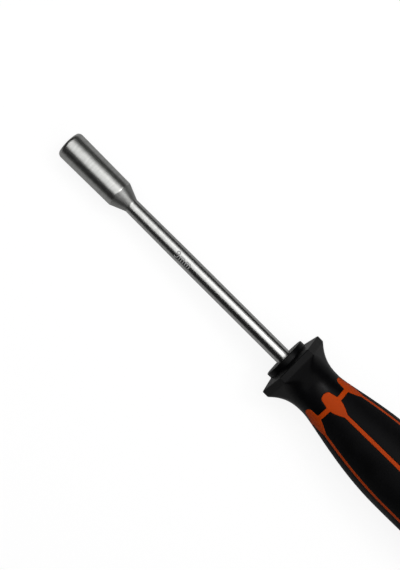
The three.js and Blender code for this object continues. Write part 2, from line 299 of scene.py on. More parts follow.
def piece(name, grids, material, slot, *nodes):
    """One closed mesh in metres from grids of places: x = handle length - behind,
    y = radius sin azimuth, z = radius cos azimuth. Neighbours in a grid make a face, and places that
    coincide are one."""
    corners = []
    start = 0
    for grid in grids:
        rows, columns = grid.shape[:2]
        index = start + np.arange(rows * columns).reshape(rows, columns)
        faces = np.stack([index[:-1, :-1], index[1:, :-1], index[1:, 1:], index[:-1, 1:]], axis=-1)
        corners.append(faces.reshape(-1, 4))
        start += rows * columns
    places = np.concatenate([grid.reshape(-1, 3) for grid in grids])
    behind, radius, azimuth = places.T
    in_frame = [handle_length - behind, radius * np.sin(azimuth), radius * np.cos(azimuth)]
    vertices = np.stack(in_frame, axis=-1) * millimetre
    mesh = bpy.data.meshes.new(name)
    mesh.from_pydata(vertices.tolist(), [], np.concatenate(corners).tolist())
    shape = bmesh.new()
    shape.from_mesh(mesh)
    bmesh.ops.remove_doubles(shape, verts=shape.verts, dist=weld_distance * millimetre)
    bmesh.ops.recalc_face_normals(shape, faces=shape.faces)
    shape.to_mesh(mesh)
    shape.free()
    mesh.shade_smooth()
    mesh.set_sharp_from_angle(angle=sharp_angle)
    mesh.materials.append(material)
    made = bpy.data.objects.new(name, mesh)
    bpy.context.scene.collection.objects.link(made)
    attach(made, "root")
    if nodes:
        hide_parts(*nodes)
    return made


# The pattern of petals, fingers, ribs and pads

def petal_half_width(behind, gap):
    """Half a petal's width: a quarter ellipse at its nose, then growing evenly to its root."""
    nose_share = np.clip((nose_end - behind) / (petal_nose_length + gap), 0, 1)
    side_share = np.clip((behind - nose_end) / (ring_front - nose_end), 0, 1)
    nose = (petal_nose_width / 2 + gap) * np.sqrt(1 - nose_share ** 2)
    return nose + (petal_root_width - petal_nose_width) / 2 * side_share


def pocket_half_angle(behind):
    """Half the angle between two ribs: what is left of half a pitch beside a rib that narrows from
    the petal's root, times a share that falls along a quarter ellipse at the pocket's end."""
    narrow = rib_width / 2
    front_share = np.clip((behind - ring_rear) / front_flare_length, 0, 1)
    end_share = np.clip((pad_rear - behind) / pad_end_length, 0, 1)
    rib = narrow + (petal_root_width / 2 - narrow) * (1 - front_share ** rib_flare_power)
    kept = pad_end_width_share + (1 - pad_end_width_share) * np.sqrt(1 - (1 - end_share) ** 2)
    return (half_pitch - rib / skin_radius(behind)) * kept


def finger_half_angle(behind, gap):
    """Half the angle that a finger or pad fills at a distance behind, less a gap at each side."""
    skin = skin_radius(behind)
    beside_petal = half_pitch - petal_half_width(behind, gap) / skin
    beside_rib = pocket_half_angle(behind) - gap / skin
    return np.where(behind < ring_rear, beside_petal, beside_rib)


def corner_reach(from_side, corner_round):
    """How far a rounded corner of radius w stands out from where it meets its side: sqrt(w^2 - d^2),
    where d is how far the place is inside the corner's arc, seen from the arc's other end."""
    inside = np.clip(corner_round - from_side, 0, corner_round)
    return np.sqrt(corner_round ** 2 - inside ** 2)


def ring_shift(behind, from_side):
    """Moves rows near the ring so that the fingers' ends and the pads' fronts get round corners. Each
    row starts from its distance behind at the grid's side."""
    front = corner_reach(from_side, finger_corner_round)
    rear = -corner_reach(from_side, pad_corner_round)
    stations = [finger_corner_behind - blend_length, finger_corner_behind,
                pad_corner_behind, pad_corner_behind + blend_length]
    front_weight = np.interp(behind, stations, [0, 1, 0, 0])
    rear_weight = np.interp(behind, stations, [0, 0, 1, 0])
    return behind + front * front_weight + rear * rear_weight


def column_angles(half_angle, radius, shares):
    """Angles across a strip: even shares of its middle, then columns close to each side that keep
    their distances from it."""
    reach = edge_offsets[-1]
    middle = shares * (half_angle - reach / radius)
    side = half_angle - edge_offsets[::-1][1:] / radius
    return np.concatenate([-side[:, ::-1], middle, side], axis=1)


corner_shares = np.linspace(0, corner_last_share, corner_columns)
side_shares = np.linspace(side_first_share, 1, side_columns)
half_shares = np.concatenate([corner_shares, side_shares])
finger_shares = np.concatenate([-half_shares[:0:-1], half_shares])
petal_shares = np.linspace(-1, 1, petal_columns + 1)


def finger_grid(rows, gap):
    """Places [behind, angle from the finger's middle] of a strip of fingers or pads."""
    behind = np.array(rows, float)[:, None]
    skin = skin_radius(behind)
    half_angle = np.where(behind < petal_tip - gap, half_pitch, finger_half_angle(behind, gap))
    angle = column_angles(half_angle, skin, finger_shares)
    return ring_shift(behind, (half_angle - np.abs(angle)) * skin), angle


def petal_grid(rows):
    """Places [behind, angle from the petal's middle] of a strip of petals and ribs."""
    behind = np.array(rows, float)[:, None]
    skin = skin_radius(behind)
    half_angle = half_pitch - np.where(behind <= petal_tip, half_pitch, finger_half_angle(behind, 0))
    half_angle = np.maximum(half_angle, 0)
    side_angle = np.minimum(edge_offsets[-1] / skin, half_angle / 2)
    middle = petal_shares * (half_angle - side_angle)
    side = half_angle - side_angle * (edge_offsets[::-1] / edge_offsets[-1])[1:]
    return behind, np.concatenate([-side[:, ::-1], middle, side], axis=1)


def unrolled(behind, angle):
    """Flat places of a line on the skin: its distance behind, and its distance from the finger's
    middle along the skin."""
    return np.stack([behind, np.abs(angle) * skin_radius(behind)], axis=-1)


def distance_to(behind, angle, lines):
    """Least distance from each place to the lines: |p - a - h s| over their straight bits a to a + s,
    with h = (p - a) s / s^2 kept from 0 to 1."""
    p = unrolled(behind, angle)[..., None, :]
    start = np.concatenate([line[:-1] for line in lines])
    step = np.concatenate([line[1:] - line[:-1] for line in lines])
    squared = np.maximum((step ** 2).sum(axis=-1), np.finfo(float).eps)
    share = np.clip(((p - start) * step).sum(axis=-1) / squared, 0, 1)
    apart = p - start - share[..., None] * step
    return np.sqrt((apart ** 2).sum(axis=-1)).min(axis=-1)


def rolled(distance):
    """How far an edge's rounding falls at a distance d from it: w - sqrt(w^2 - (w - d)^2)."""
    inside = np.clip(edge_roll - distance, 0, edge_roll)
    return edge_roll - np.sqrt(edge_roll ** 2 - inside ** 2)


def nose_rows(gap):
    """Distances behind along a petal's nose, closer together towards its tip."""
    turn = np.linspace(0, math.pi / 2, quarter_steps + 1)
    return nose_end - (petal_nose_length + gap) * np.cos(turn)


# Materials. Colours are linear, and a scale is a number of waves per metre.
white = (1, 1, 1, 1)
noise_detail = 3
noise_roughness = 0.55
noise_low = 0.3
noise_high = 0.7
grain_strength = 0.3

# Sockets of the node that mixes two colours: its share, its first and second colour, and its result
mix_share = 0
mix_first = 6
mix_second = 7
mix_colour = 2

shank_dark = (0.42, 0.42, 0.412)
shank_light = (0.45, 0.45, 0.442)
# The socket's colours are darker than the shank's partly because the socket is its own steel, and
# partly as painted shade for the weaker lamp reflection towards the tip.
socket_dark_and_shade = (0.36, 0.362, 0.35)
socket_light_and_shade = (0.46, 0.462, 0.45)
# The cone's darker colours are painted shade: they stand in for the weaker lamp reflection on the
# cone.
cone_painted_shade_dark = (0.28, 0.28, 0.272)
cone_painted_shade_light = (0.33, 0.33, 0.322)
steel_edge_tint = (0.95, 0.95, 0.95, 1)
ring_stretch = (60, 1, 1)
ring_scale = 150
ring_depth = 0.006
band_stretch = (7, 1, 1)
band_scale = 160
shank_finish_end = -15.0
shank_roughness = (0.19, 0.23)
socket_extra_roughness = 0.09
cone_extra_roughness = 0.11
shank_ring_strength = 0.03
socket_extra_strength = 0.12

mark_dark = (0.24, 0.24, 0.24)
mark_light = (0.32, 0.32, 0.315)
mark_roughness = (0.5, 0.65)
mark_grain_scale = 3000
mark_relief = 0.01

plastic_index = 1.15
plastic_cloud_scale = 90


def new_material(name):
    made = bpy.data.materials.new(name)
    made.use_nodes = True
    return made, made.node_tree, made.node_tree.nodes["Principled BSDF"]


def wired(tree, kind, settings, **links):
    """A node with its settings and its inputs' links."""
    made = tree.nodes.new(kind)
    for key, value in settings.items():
        if hasattr(made, key):
            setattr(made, key, value)
        else:
            made.inputs[key].default_value = value
    for key, source in links.items():
        tree.links.new(source, made.inputs[key.replace("_", " ")])
    return made


def stretched_noise(tree, scale, stretch=(1, 1, 1)):
    """Noise on the piece's own coordinates, with more waves along a stretched axis."""
    spot = wired(tree, "ShaderNodeTexCoord", {})
    turned_spot = wired(tree, "ShaderNodeMapping", {"Scale": stretch}, Vector=spot.outputs["Object"])
    settings = {"Scale": scale, "Detail": noise_detail, "Roughness": noise_roughness}
    noise = wired(tree, "ShaderNodeTexNoise", settings, Vector=turned_spot.outputs["Vector"])
    return noise.outputs["Fac"]


def ranged(tree, value, low, high):
    """A noise value spread from a low to a high number."""
    settings = {"From Min": noise_low, "From Max": noise_high, "To Min": low, "To Max": high}
    return wired(tree, "ShaderNodeMapRange", settings, Value=value).outputs["Result"]


def tinted(tree, value, dark, light):
    """A colour between a dark and a light one by a noise value."""
    made = wired(tree, "ShaderNodeMix", {"data_type": "RGBA"})
    made.inputs[mix_first].default_value = (*dark, 1)
    made.inputs[mix_second].default_value = (*light, 1)
    tree.links.new(ranged(tree, value, 0, 1), made.inputs[mix_share])
    return made.outputs[mix_colour]


def blended(tree, share, first, second):
    """A colour that goes from a first to a second one as a node value goes from 0 to 1."""
    made = wired(tree, "ShaderNodeMix", {"data_type": "RGBA"})
    tree.links.new(share, made.inputs[mix_share])
    tree.links.new(first, made.inputs[mix_first])
    tree.links.new(second, made.inputs[mix_second])
    return made.outputs[mix_colour]


def scaled_and_added(tree, value, factor, added):
    """A node value times a number, plus another node value or number."""
    made = wired(tree, "ShaderNodeMath", {"operation": "MULTIPLY_ADD"})
    tree.links.new(value, made.inputs[0])
    made.inputs[1].default_value = factor
    if isinstance(added, float):
        made.inputs[2].default_value = added
    else:
        tree.links.new(added, made.inputs[2])
    return made.outputs["Value"]


def larger(tree, first, second):
    """The larger of two node values."""
    made = wired(tree, "ShaderNodeMath", {"operation": "MAXIMUM"})
    tree.links.new(first, made.inputs[0])
    tree.links.new(second, made.inputs[1])
    return made.outputs["Value"]


def bumped(tree, shader, height, depth):
    """A fine relief of a depth in millimetres."""
    settings = {"Strength": grain_strength, "Distance": depth * millimetre}
    made = wired(tree, "ShaderNodeBump", settings, Height=height)
    tree.links.new(made.outputs["Normal"], shader.inputs["Normal"])


def steel_material():
    """Satin chromed steel, ground round the axis: fine rings in its relief and finish, and wider,
    fainter bands in its colour. The finish gets coarser along the shank to the socket, and the cone
    is the coarsest. The colour darkens along the shank towards the socket, partly as the socket's own
    steel and partly as painted shade for the weaker lamp reflection there. The cone's darker colour
    is painted shade for the weaker reflection that it catches."""
    made, tree, shader = new_material("ground_steel")
    rings = stretched_noise(tree, ring_scale, ring_stretch)
    bands = stretched_noise(tree, band_scale, band_stretch)
    spot = wired(tree, "ShaderNodeTexCoord", {})
    axes = wired(tree, "ShaderNodeSeparateXYZ", {}, Vector=spot.outputs["Object"])
    socket_x = (handle_length + blade_length - socket_length) * millimetre
    shank_x = (handle_length - shank_finish_end) * millimetre
    settings = {"From Min": shank_x, "From Max": socket_x}
    share = wired(tree, "ShaderNodeMapRange", settings, Value=axes.outputs["X"]).outputs["Result"]
    shank_colour = tinted(tree, bands, shank_dark, shank_light)
    socket_colour_and_shade = tinted(tree, bands, socket_dark_and_shade, socket_light_and_shade)
    cone_painted_shade_colour = tinted(tree, bands, cone_painted_shade_dark, cone_painted_shade_light)
    on_cone = wired(tree, "ShaderNodeMath", {"operation": "COMPARE"})
    tree.links.new(axes.outputs["X"], on_cone.inputs[0])
    on_cone.inputs[1].default_value = socket_x - (cone_length + socket_edge_reach) / 2 * millimetre
    on_cone.inputs[2].default_value = (cone_length - socket_edge_reach) / 2 * millimetre
    # Partly painted shade: the colour darkens along the shank towards the socket, where the lamps'
    # reflection is weaker.
    colour = blended(tree, share, shank_colour, socket_colour_and_shade)
    # Painted shade: the cone's colour is darker where its reflection of the lamps is weaker.
    colour = blended(tree, on_cone.outputs["Value"], colour, cone_painted_shade_colour)
    finish = ranged(tree, rings, *shank_roughness)
    finish = scaled_and_added(tree, on_cone.outputs["Value"], cone_extra_roughness, finish)
    finish = scaled_and_added(tree, share, socket_extra_roughness, finish)
    shader.inputs["Metallic"].default_value = 1
    shader.inputs["Specular Tint"].default_value = steel_edge_tint
    tree.links.new(colour, shader.inputs["Base Color"])
    tree.links.new(finish, shader.inputs["Roughness"])
    strength = scaled_and_added(tree, share, socket_extra_strength, shank_ring_strength)
    bump = wired(tree, "ShaderNodeBump", {"Distance": ring_depth * millimetre}, Height=rings)
    tree.links.new(strength, bump.inputs["Strength"])
    tree.links.new(bump.outputs["Normal"], shader.inputs["Normal"])
    return made


def mark_material():
    """The mark's matt lines."""
    made, tree, shader = new_material("etched_mark")
    grain = stretched_noise(tree, mark_grain_scale)
    shader.inputs["Metallic"].default_value = 0
    tree.links.new(tinted(tree, grain, mark_dark, mark_light), shader.inputs["Base Color"])
    tree.links.new(ranged(tree, grain, *mark_roughness), shader.inputs["Roughness"])
    bumped(tree, shader, grain, mark_relief)
    return made


def plastic_material(name, dark, light, roughness, gloss, grain_scale, relief):
    """Moulded plastic: a fine grain in the relief and soft clouds in colour and finish."""
    made, tree, shader = new_material(name)
    shader.inputs["IOR"].default_value = plastic_index
    shader.inputs["Specular IOR Level"].default_value = gloss
    grain = stretched_noise(tree, grain_scale)
    clouds = stretched_noise(tree, plastic_cloud_scale)
    tree.links.new(tinted(tree, clouds, dark, light), shader.inputs["Base Color"])
    tree.links.new(ranged(tree, clouds, *roughness), shader.inputs["Roughness"])
    bumped(tree, shader, grain, relief)
    return made


steel = steel_material()
etched_mark = mark_material()
black_plastic = plastic_material(
    "black_plastic",
    dark=(0.0012, 0.0012, 0.0014),
    light=(0.0024, 0.0024, 0.0028),
    roughness=(0.3, 0.35),
    gloss=0.55,
    grain_scale=2600,
    relief=0.012,
)
orange_plastic = plastic_material(
    "orange_plastic",
    dark=(0.36, 0.036, 0.0006),
    light=(0.4, 0.042, 0.001),
    roughness=(0.48, 0.56),
    gloss=0.55,
    grain_scale=2200,
    relief=0.01,
)
black_grip = plastic_material(
    "black_grip",
    dark=(0.0014, 0.0014, 0.0016),
    light=(0.0028, 0.0028, 0.0032),
    roughness=(0.5, 0.6),
    gloss=0.5,
    grain_scale=1500,
    relief=0.03,
)


# The blade

def blade():
    """The turned blade with its hexagonal hole. The hole's wall is the larger of the hexagon and the
    cone that leads a nut in, and the two meet at a depth that follows the azimuth."""
    tip = -blade_length
    azimuth = np.linspace(0, 2 * math.pi, turn_columns + 1)
    hexagon = nut_across_flats / 2 / np.cos((azimuth + half_pitch) % pitch - half_pitch)
    relief_radius = nut_across_flats / 2
    lead_in_radius = relief_radius / math.cos(half_pitch) + lead_in_margin
    meeting = lead_in_depth * (lead_in_radius - hexagon) / (lead_in_radius - relief_radius)
    bottom = tip + hexagon_depth + relief_depth
    hole = [
        grid_of(bottom, 0, azimuth),
        grid_of(bottom - relief_cone_length, relief_radius, azimuth),
        grid_of(tip + hexagon_depth, relief_radius, azimuth),
        grid_of(tip + hexagon_depth, hexagon, azimuth),
        grid_of(tip + meeting, hexagon, azimuth),
    ]
    mouth_radius = socket_mouth_diameter / 2
    turn = np.linspace(mouth_round_start, math.pi / 2, quarter_steps + 1)
    mouth = np.stack([
        tip + mouth_round_length * (math.cos(mouth_round_start) - np.cos(turn)),
        mouth_radius - mouth_round_height * (1 - np.sin(turn)),
    ], axis=-1)
    cone_start = tip + socket_length
    cone_end = cone_start + cone_length
    shank_radius = shank_diameter / 2
    behind_mouth = rounded([
        [*mouth[-1], 0],
        [cone_start, socket_rear_diameter / 2, socket_edge_reach],
        [cone_end, neck_diameter / 2, cone_fillet_reach],
        [cone_end + neck_length, shank_radius, 0],
        [tang_length - tang_point_length, shank_radius, 0],
        [tang_length, tang_point_diameter / 2, 0],
        [tang_length, 0, 0],
    ])
    lip = rounded([
        [tip + lead_in_depth, relief_radius, 0],
        [tip, lead_in_radius, mouth_edge_reach],
        [*mouth[0], 0],
    ])[corner_steps + 1:2 * (corner_steps + 1)]
    outside = turned(np.concatenate([lip, mouth, behind_mouth]))
    return np.concatenate([np.stack(hole), outside])


def wings():
    """The pressed wings on the hidden end of the shank: a flat six-sided slab. Its rows are a middle,
    the outline on one side, the outline on the other side, and a middle."""
    from_behind = wing_start
    to_behind = wing_start + wing_length
    half_span = wing_span / 2
    outline = np.array([
        [from_behind, 0],
        [from_behind + wing_ramp, half_span],
        [to_behind - wing_ramp, half_span],
        [to_behind, 0],
        [to_behind - wing_ramp, -half_span],
        [from_behind + wing_ramp, -half_span],
        [from_behind, 0],
    ])
    middle = np.full_like(outline, 0) + [(from_behind + to_behind) / 2, 0]
    rows = np.stack([middle, outline, outline, middle])
    height = np.array([-1, -1, 1, 1])[:, None] * wing_thickness / 2
    behind, across = rows[..., 0], rows[..., 1]
    return grid_of(behind, np.hypot(across, height), np.arctan2(across, height))


piece("blade_turned", [blade()], steel, "steel", "blade")
piece("blade_wings", [wings()], steel, "steel")


# The size mark, a plain 9 mm

def upright(across, top, bottom):
    """A straight stroke from a top to a bottom, in steps short enough to follow the round shank."""
    height = np.linspace(top, bottom, stroke_steps + 1)
    return np.stack([np.full_like(height, across), height], axis=-1)


def arc(middle, half_size, first_turn, last_turn):
    """Part of an ellipse: m + (a cos t, b sin t)."""
    quarters = abs(last_turn - first_turn) / (math.pi / 2)
    turn = np.linspace(first_turn, last_turn, math.ceil(quarters * stroke_steps) + 1)
    return middle + half_size * np.stack([np.cos(turn), np.sin(turn)], axis=-1)


def mark_strokes():
    """The middle lines of a 9 and two letters m, in shares of the mark's height. The 9 is an elliptic
    ring and a tail that goes straight down and hooks back, and each hook of an m is half an ellipse
    with a straight leg."""
    ring_size = np.array([digit_ring_half_width_share, digit_ring_half_height_share])
    ring_middle = np.array([digit_right_share - ring_size[0], digit_ring_middle_share])
    ring = arc(ring_middle, ring_size, 0, 2 * math.pi)
    hook_size = np.array([digit_hook_half_width_share, digit_hook_height_share])
    hook_middle = np.array([digit_right_share, 0]) + hook_size * [-1, 1]
    tail = np.concatenate([
        upright(digit_right_share, digit_ring_middle_share, digit_hook_height_share)[:-1],
        arc(hook_middle, hook_size, 0, -digit_hook_turn),
    ])
    stem = upright(0, letter_stem_share, 0)
    arch_size = np.array([letter_leg_gap_share / 2, letter_arch_height_share])
    arch_middle = np.array([letter_leg_gap_share / 2, letter_arch_foot_share])
    hook = np.concatenate([
        arc(arch_middle, arch_size, math.pi, 0),
        upright(letter_leg_gap_share, letter_arch_foot_share, 0)[1:],
    ])
    letter = [stem, hook, hook + [letter_leg_gap_share, 0]]
    letters = [stroke + [start, 0] for start in letter_start_shares for stroke in letter]
    return [ring, tail, *letters]


def mark_ribbon(stroke):
    """A flat ribbon on the shank along a stroke: at each of its points a rectangle stands across the
    stroke, from just under the steel to just over it. Its ends close to a point."""
    middle = stroke * mark_height
    direction = np.gradient(middle, axis=0)
    direction = direction / np.linalg.norm(direction, axis=1, keepdims=True)
    sideways = np.stack([-direction[:, 1], direction[:, 0]], axis=-1) * mark_width / 2
    side = np.array([-1, 1, 1, -1, -1])[None, :, None]
    flat = middle[:, None] + side * sideways[:, None]
    shank_radius = shank_diameter / 2
    top = shank_radius + mark_rise
    radius = np.array([top, top, top - mark_depth, top - mark_depth, top])[None, :]
    radius = np.broadcast_to(radius, flat.shape[:2])
    azimuth = mark_azimuth - (flat[..., 1] - mark_height / 2) / shank_radius
    strip = grid_of(mark_start + flat[..., 0], radius, azimuth)
    first = np.broadcast_to(strip[:1, :4].mean(axis=1, keepdims=True), strip[:1].shape)
    last = np.broadcast_to(strip[-1:, :4].mean(axis=1, keepdims=True), strip[-1:].shape)
    return np.concatenate([first, strip, last])


for number, stroke in enumerate(mark_strokes()):
    piece(f"size_mark_{number + 1}", [mark_ribbon(stroke)], etched_mark, "steel")


# The core, whose front end is the collar

collar_radius = collar_diameter / 2
core_radius = core_diameter / 2
core_bore_radius = shank_diameter / 2 + core_bore_gap
core_profile = rounded([
    [tang_length + seam_gap, 0, 0],
    [tang_length + seam_gap, core_bore_radius, 0],
    [0, core_bore_radius, core_bore_edge_reach],
    [0, collar_radius, collar_front_reach],
    [collar_length, collar_radius, collar_rear_reach],
    [collar_length, core_radius, 0],
    [core_end, core_radius, 0],
    [core_end, 0, 0],
])
piece("collar_and_core", [turned(core_profile)], black_plastic, "black_plastic", "inner_core")


# The sleeve

def guard_rows(azimuth):
    """Rows from the seat over the guard's sloping facets and its rim to the flare. A facet falls
    behind by a slope for each millimetre that its distance from the axis, r cos a, gains on its way
    to the flat, and the rim's two edges are quadratic curves."""
    counterbore = collar_radius + counterbore_gap
    hexagon = crowned_hexagon(azimuth, guard_reach)
    flat_share = guard_reach / hexagon
    face_edge = crowned_hexagon(azimuth, guard_reach - guard_edge_reach)
    rows = [
        grid_of(seat_behind, sleeve_bore_diameter / 2, azimuth),
        grid_of(seat_behind, counterbore, azimuth),
    ]
    for share in [0, *np.linspace(counterbore_edge_share, 1, face_steps + 1)]:
        radius = counterbore + (face_edge - counterbore) * share
        behind = guard_front - (guard_reach - radius * flat_share) * guard_face_slope
        edge_fall = counterbore_edge_fall * (share == 0)
        rows.append(grid_of(behind + edge_fall, radius, azimuth))
    face_behind = guard_front - guard_edge_reach * guard_face_slope
    flare_start = guard_rear + guard_edge_reach
    flare_radius = flared(flare_start, azimuth)
    rim_start = guard_front + guard_edge_reach
    for t in np.linspace(0, 1, corner_steps + 1)[1:]:
        behind = (1 - t) ** 2 * face_behind + 2 * t * (1 - t) * guard_front + t ** 2 * rim_start
        radius = (1 - t) ** 2 * face_edge + (1 - (1 - t) ** 2) * hexagon
        rows.append(grid_of(behind, radius, azimuth))
    for t in np.linspace(0, 1, corner_steps + 1):
        behind = guard_rear - guard_edge_reach * ((1 - t) ** 2 - t ** 2)
        radius = (1 - t ** 2) * hexagon + t ** 2 * flare_radius
        rows.append(grid_of(behind, radius, azimuth))
    return np.stack(rows)


def flared(behind, azimuth):
    """The flare from the waist to the guard. Its corners lie at w + (g - w) s^p, with g the guard's
    corner, w the waist and s the share of the way from the waist to the guard's rear. Its section is
    a hexagon whose corners get rounder by s^q, until it is a circle."""
    share = np.clip((waist_behind - behind) / (waist_behind - guard_rear), 0, None)
    guard_corner = float(crowned_hexagon(half_pitch, guard_reach))
    corner = skin_radius(behind) + (guard_corner - waist_radius) * share ** flare_power
    sharpening = (1 - guard_corner_round / guard_reach) * share ** round_power
    roundness = np.clip(1 - sharpening, least_roundness, 1)
    section = hexagon_radius(azimuth, 1, roundness)
    return corner * section / hexagon_radius(half_pitch, 1, roundness)


def front_sleeve():
    """One finger's share of the sleeve: the guard, the flare and a finger between two petals, closed
    by its bore and by walls down from its sides and its end."""
    gap = seam_gap
    notch = petal_tip - gap
    finger_end = finger_corner_behind - gap
    flare_end = notch - edge_roll
    open_rows = np.concatenate([
        np.linspace(guard_rear + guard_edge_reach, flare_end - wide_row_gap, flare_steps + 1)[1:],
        [flare_end - close_row_gap],
        notch - edge_offsets[:0:-1],
    ])
    cut_rows = np.concatenate([
        nose_rows(gap),
        np.linspace(nose_end, finger_end - close_row_gap, finger_steps + 1)[1:],
        finger_end - edge_offsets[::-1],
    ])
    behind, angle = finger_grid(np.concatenate([open_rows, cut_rows]), gap)
    cut_start = len(open_rows)
    sides = unrolled(behind[cut_start:, -1], angle[cut_start:, -1])
    half = angle.shape[1] // 2
    end = unrolled(behind[-1, half:], angle[-1, half:])
    fall = rolled(distance_to(behind, angle, [sides, end]))
    azimuth = angle + half_pitch
    outer = grid_of(behind, flared(behind, azimuth) - fall, azimuth)
    front = guard_rows(azimuth[0])
    skin = np.concatenate([front, outer])
    bore_radius = sleeve_bore_diameter / 2
    inner = outer.copy()
    inner[..., 1] = bore_radius
    bore = np.concatenate([front[:1], inner])
    walls = [np.stack([outer[cut_start:, side], inner[cut_start:, side]]) for side in (0, -1)]
    return [skin, bore, *walls, np.stack([outer[-1], inner[-1]])]


piece("guard_sleeve", repeated(front_sleeve()), black_plastic, "black_plastic", "front_sleeve")


# The orange body

def handle_body():
    """One pitch of the body: a petal and its rib, and beside them the tube, the ring, a pocket's
    floor and the tail. Walls join the skin to the tube and to the floor."""
    ring_start = finger_corner_behind + close_row_gap
    ring_end = pad_corner_behind - close_row_gap
    ring_rows = np.concatenate([
        finger_corner_behind + edge_offsets,
        np.linspace(ring_start, ring_end, ring_steps + 1),
        pad_corner_behind - edge_offsets[::-1],
    ])
    tube_rows = np.concatenate([
        nose_rows(0),
        np.linspace(nose_end, finger_corner_behind, finger_steps + 1)[1:-1],
    ])
    flare_end = ring_rear + front_flare_length
    taper_start = pad_rear - pad_end_length
    taper = taper_start + pad_end_length * np.sin(np.linspace(0, math.pi / 2, taper_steps + 1))
    floor_rows = np.concatenate([
        np.linspace(pad_corner_behind, flare_end, finger_steps + 1)[1:],
        np.linspace(flare_end, taper_start, belly_steps + 1)[1:],
        taper[1:-1],
    ])
    tail_rows = np.concatenate([
        pad_rear + edge_offsets,
        np.linspace(pad_rear + close_row_gap, cap_front - close_row_gap, tail_steps + 1),
        cap_front - edge_offsets[::-1],
    ])
    rows = np.concatenate([tube_rows, ring_rows, floor_rows, tail_rows])
    tube_end = len(tube_rows)
    floor_start = tube_end + len(ring_rows) - 1
    floor_end = floor_start + len(floor_rows) + 1
    behind, angle = petal_grid(rows)
    behind = np.broadcast_to(behind, angle.shape)
    side_behind, side_angle = finger_grid(rows, 0)
    edge = half_pitch - np.abs(angle[:, -1])
    half = side_angle.shape[1] // 2
    lines = [
        unrolled(rows[:tube_end + 1], edge[:tube_end + 1]),
        unrolled(side_behind[tube_end, half:], side_angle[tube_end, half:]),
        unrolled(side_behind[floor_start, half:], side_angle[floor_start, half:]),
        unrolled(rows[floor_start:floor_end + 1], edge[floor_start:floor_end + 1]),
        unrolled(side_behind[floor_end, half:], side_angle[floor_end, half:]),
    ]
    cap_seam = rolled(cap_front - behind)
    fall = rolled(distance_to(behind, half_pitch - np.abs(angle), lines))
    petals = grid_of(behind, skin_radius(behind) - np.maximum(fall, cap_seam), angle)
    side_seam = rolled(cap_front - side_behind)
    side_fall = np.maximum(rolled(distance_to(side_behind, side_angle, lines)), side_seam)
    azimuth = side_angle + half_pitch
    skin = grid_of(side_behind, skin_radius(side_behind) - side_fall, azimuth)
    tube = grid_of(side_behind, body_tube_diameter / 2, azimuth)
    floor = grid_of(side_behind, skin_radius(side_behind) - pocket_depth, azimuth)
    seat = grid_of(seat_behind, body_tube_diameter / 2, azimuth[:1])
    sides = np.concatenate([
        seat,
        tube[:tube_end + 1],
        skin[tube_end:floor_start + 1],
        floor[floor_start:floor_end + 1],
        skin[floor_end:],
    ])
    bore_radius = body_bore_diameter / 2
    petal_bore = grid_of(behind, bore_radius, angle)
    side_bore = np.concatenate([
        grid_of(seat_behind, bore_radius, azimuth[:1]),
        grid_of(side_behind, bore_radius, azimuth),
    ])
    grids = [petals, sides, petal_bore, side_bore]
    grids.append(np.stack([sides[0], side_bore[0]]))
    grids.append(np.stack([skin[-1], side_bore[-1]]))
    grids.append(np.stack([petals[-1], petal_bore[-1]]))
    for side in (0, -1):
        top = petals[:, side]
        tube_foot = grid_of(top[:, 0], body_tube_diameter / 2, top[:, 2])
        floor_foot = grid_of(top[:, 0], skin_radius(top[:, 0]) - pocket_depth, top[:, 2])
        grids.append(np.stack([top[:tube_end + 1], tube_foot[:tube_end + 1]]))
        grids.append(np.stack([top[floor_start:floor_end + 1], floor_foot[floor_start:floor_end + 1]]))
    return grids


piece("handle_shell", repeated(handle_body()), orange_plastic, "orange_plastic", "handle_body")


# The grip pads

def grip_pad():
    """One pad between two ribs: its skin with rolled edges, the same grid a pad's depth lower, and
    walls between them."""
    front = pad_corner_behind + seam_gap
    rear = pad_rear - seam_gap
    flare_end = ring_rear + front_flare_length
    taper_start = pad_rear - pad_end_length
    taper = taper_start + (rear - taper_start) * np.sin(np.linspace(0, math.pi / 2, taper_steps + 1))
    rows = np.concatenate([
        front + edge_offsets,
        np.linspace(front + close_row_gap, flare_end, finger_steps + 1),
        np.linspace(flare_end, taper_start, belly_steps + 1)[1:],
        taper[1:-2],
        rear - edge_offsets[::-1],
    ])
    behind, angle = finger_grid(rows, seam_gap)
    half = angle.shape[1] // 2
    lines = [
        unrolled(behind[0, half:], angle[0, half:]),
        unrolled(behind[:, -1], angle[:, -1]),
        unrolled(behind[-1, half:], angle[-1, half:]),
    ]
    fall = rolled(distance_to(behind, angle, lines))
    azimuth = angle + half_pitch
    outer = grid_of(behind, skin_radius(behind) - fall, azimuth)
    inner = grid_of(behind, skin_radius(behind) - pad_depth, azimuth)
    walls = [np.stack([outer[:, side], inner[:, side]]) for side in (0, -1)]
    ends = [np.stack([outer[end], inner[end]]) for end in (0, -1)]
    return [outer, inner, *walls, *ends]


for number in range(petal_count):
    pad_grids = [grid + [0, 0, number * pitch] for grid in grip_pad()]
    piece(f"soft_pad_{number + 1}", pad_grids, black_grip, "black_grip", f"grip_pad_{number + 1}")


# The cap

cap_start = cap_front + seam_gap
cap_places = dome_curve[dome_curve[:, 0] > cap_start + cap_edge_reach]
cap_head = rounded([
    [spigot_end, 0, 0],
    [spigot_end, spigot_diameter / 2, spigot_edge_reach],
    [cap_start, spigot_diameter / 2, 0],
    [cap_start, float(skin_radius(cap_start)), cap_edge_reach],
    [cap_places[0, 0], cap_places[0, 1], 0],
])
cap_end = [[handle_length, end_flat_radius], [handle_length, 0]]
cap_profile = np.concatenate([cap_head, cap_places[::cap_step], cap_end])
piece("tail_cap", [turned(cap_profile)], black_plastic, "black_plastic", "end_cap")


# Floor, lights and camera

